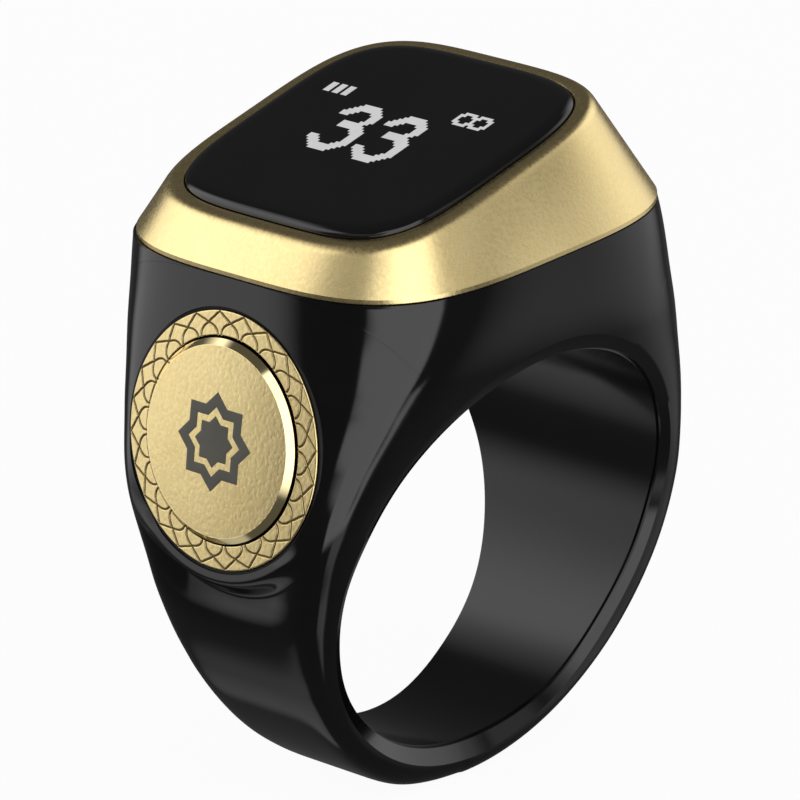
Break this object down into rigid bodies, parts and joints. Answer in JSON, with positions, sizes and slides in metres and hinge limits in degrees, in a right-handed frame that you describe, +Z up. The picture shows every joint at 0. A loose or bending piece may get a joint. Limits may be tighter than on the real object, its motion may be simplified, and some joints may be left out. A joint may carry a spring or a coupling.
{
  "type": "digital tasbih counter",
  "caption": "Finger-ring tally counter for prayers: black ring with a slanted display in a gold wedge bezel, a sprung push button on its side and a vibration motor inside.",
  "frame": {"origin": "centre of the finger hole, on its axis", "axes": "+Y along the finger axis, +Z up through the head and display, push button on the -X side"},
  "size_m": [0.0249, 0.02, 0.0322],
  "materials": {
    "shell_black": "high gloss black",
    "liner_dark": "satin black",
    "contact_gold": "gold-plated",
    "magnet_steel": "plated",
    "champagne_gold": "bead-blasted and anodised in champagne gold",
    "seal_rubber": "soft black silicone",
    "dark_glass": "black glass, polished",
    "tape_black": "black adhesive tape",
    "clear_bond": "clear optical adhesive",
    "flex_amber": "amber film",
    "frame_grey": "moulded dark grey",
    "screw_steel": "bright steel",
    "board_green": "green solder mask",
    "chip_black": "black moulding compound",
    "antenna_white": "white ceramic",
    "passive_tan": "tan ceramic",
    "cell_foil": "foil pouch",
    "bush_brass": "sintered bronze",
    "coil_copper": "wound copper"
  },
  "bodies": {
    "ring": {"ring_shell": "shell_black", "inner_liner": "liner_dark", "charge_plate": "liner_dark", "charge_contacts": "contact_gold", "charge_magnets": "magnet_steel", "bezel": "champagne_gold", "bezel_gasket": "seal_rubber", "cover_glass": "dark_glass", "glass_adhesive": "tape_black", "optical_adhesive": "clear_bond", "oled_panel": "dark_glass", "oled_flex": "flex_amber", "display_frame": "frame_grey", "frame_screws": "screw_steel", "main_board": "board_green", "radio_chip": "chip_black", "charger_chip": "chip_black", "crystal": "screw_steel", "antenna": "antenna_white", "passives": "passive_tan", "battery": "cell_foil", "battery_cradle": "frame_grey", "battery_tabs": "screw_steel", "motor_case": "magnet_steel", "motor_endcap": "chip_black", "motor_bush": "bush_brass", "motor_magnet": "magnet_steel", "motor_saddle": "seal_rubber", "button_ring": "champagne_gold", "button_seal": "seal_rubber", "switch_dome": "screw_steel", "switch_board": "board_green", "switch_flex": "flex_amber"},
    "button": {"button_cap": "champagne_gold", "button_carrier": "frame_grey"},
    "rotor": {"motor_shaft": "screw_steel", "motor_coil": "coil_copper", "motor_weight": "magnet_steel"}
  },
  "joints": [
    {"name": "button_press", "type": "slide", "parent": "ring", "child": "button", "axis": [0.9925, 0, -0.1219], "range_m": [0, 0.0003], "stiffness_N_per_m": 4000, "deforming": ["button_seal", "switch_dome"]},
    {"name": "rotor_spin", "type": "hinge", "parent": "ring", "child": "rotor", "pos_m": [0.00591, 0, 0.01175], "axis": [0, 1, 0], "continuous": true}
  ]
}
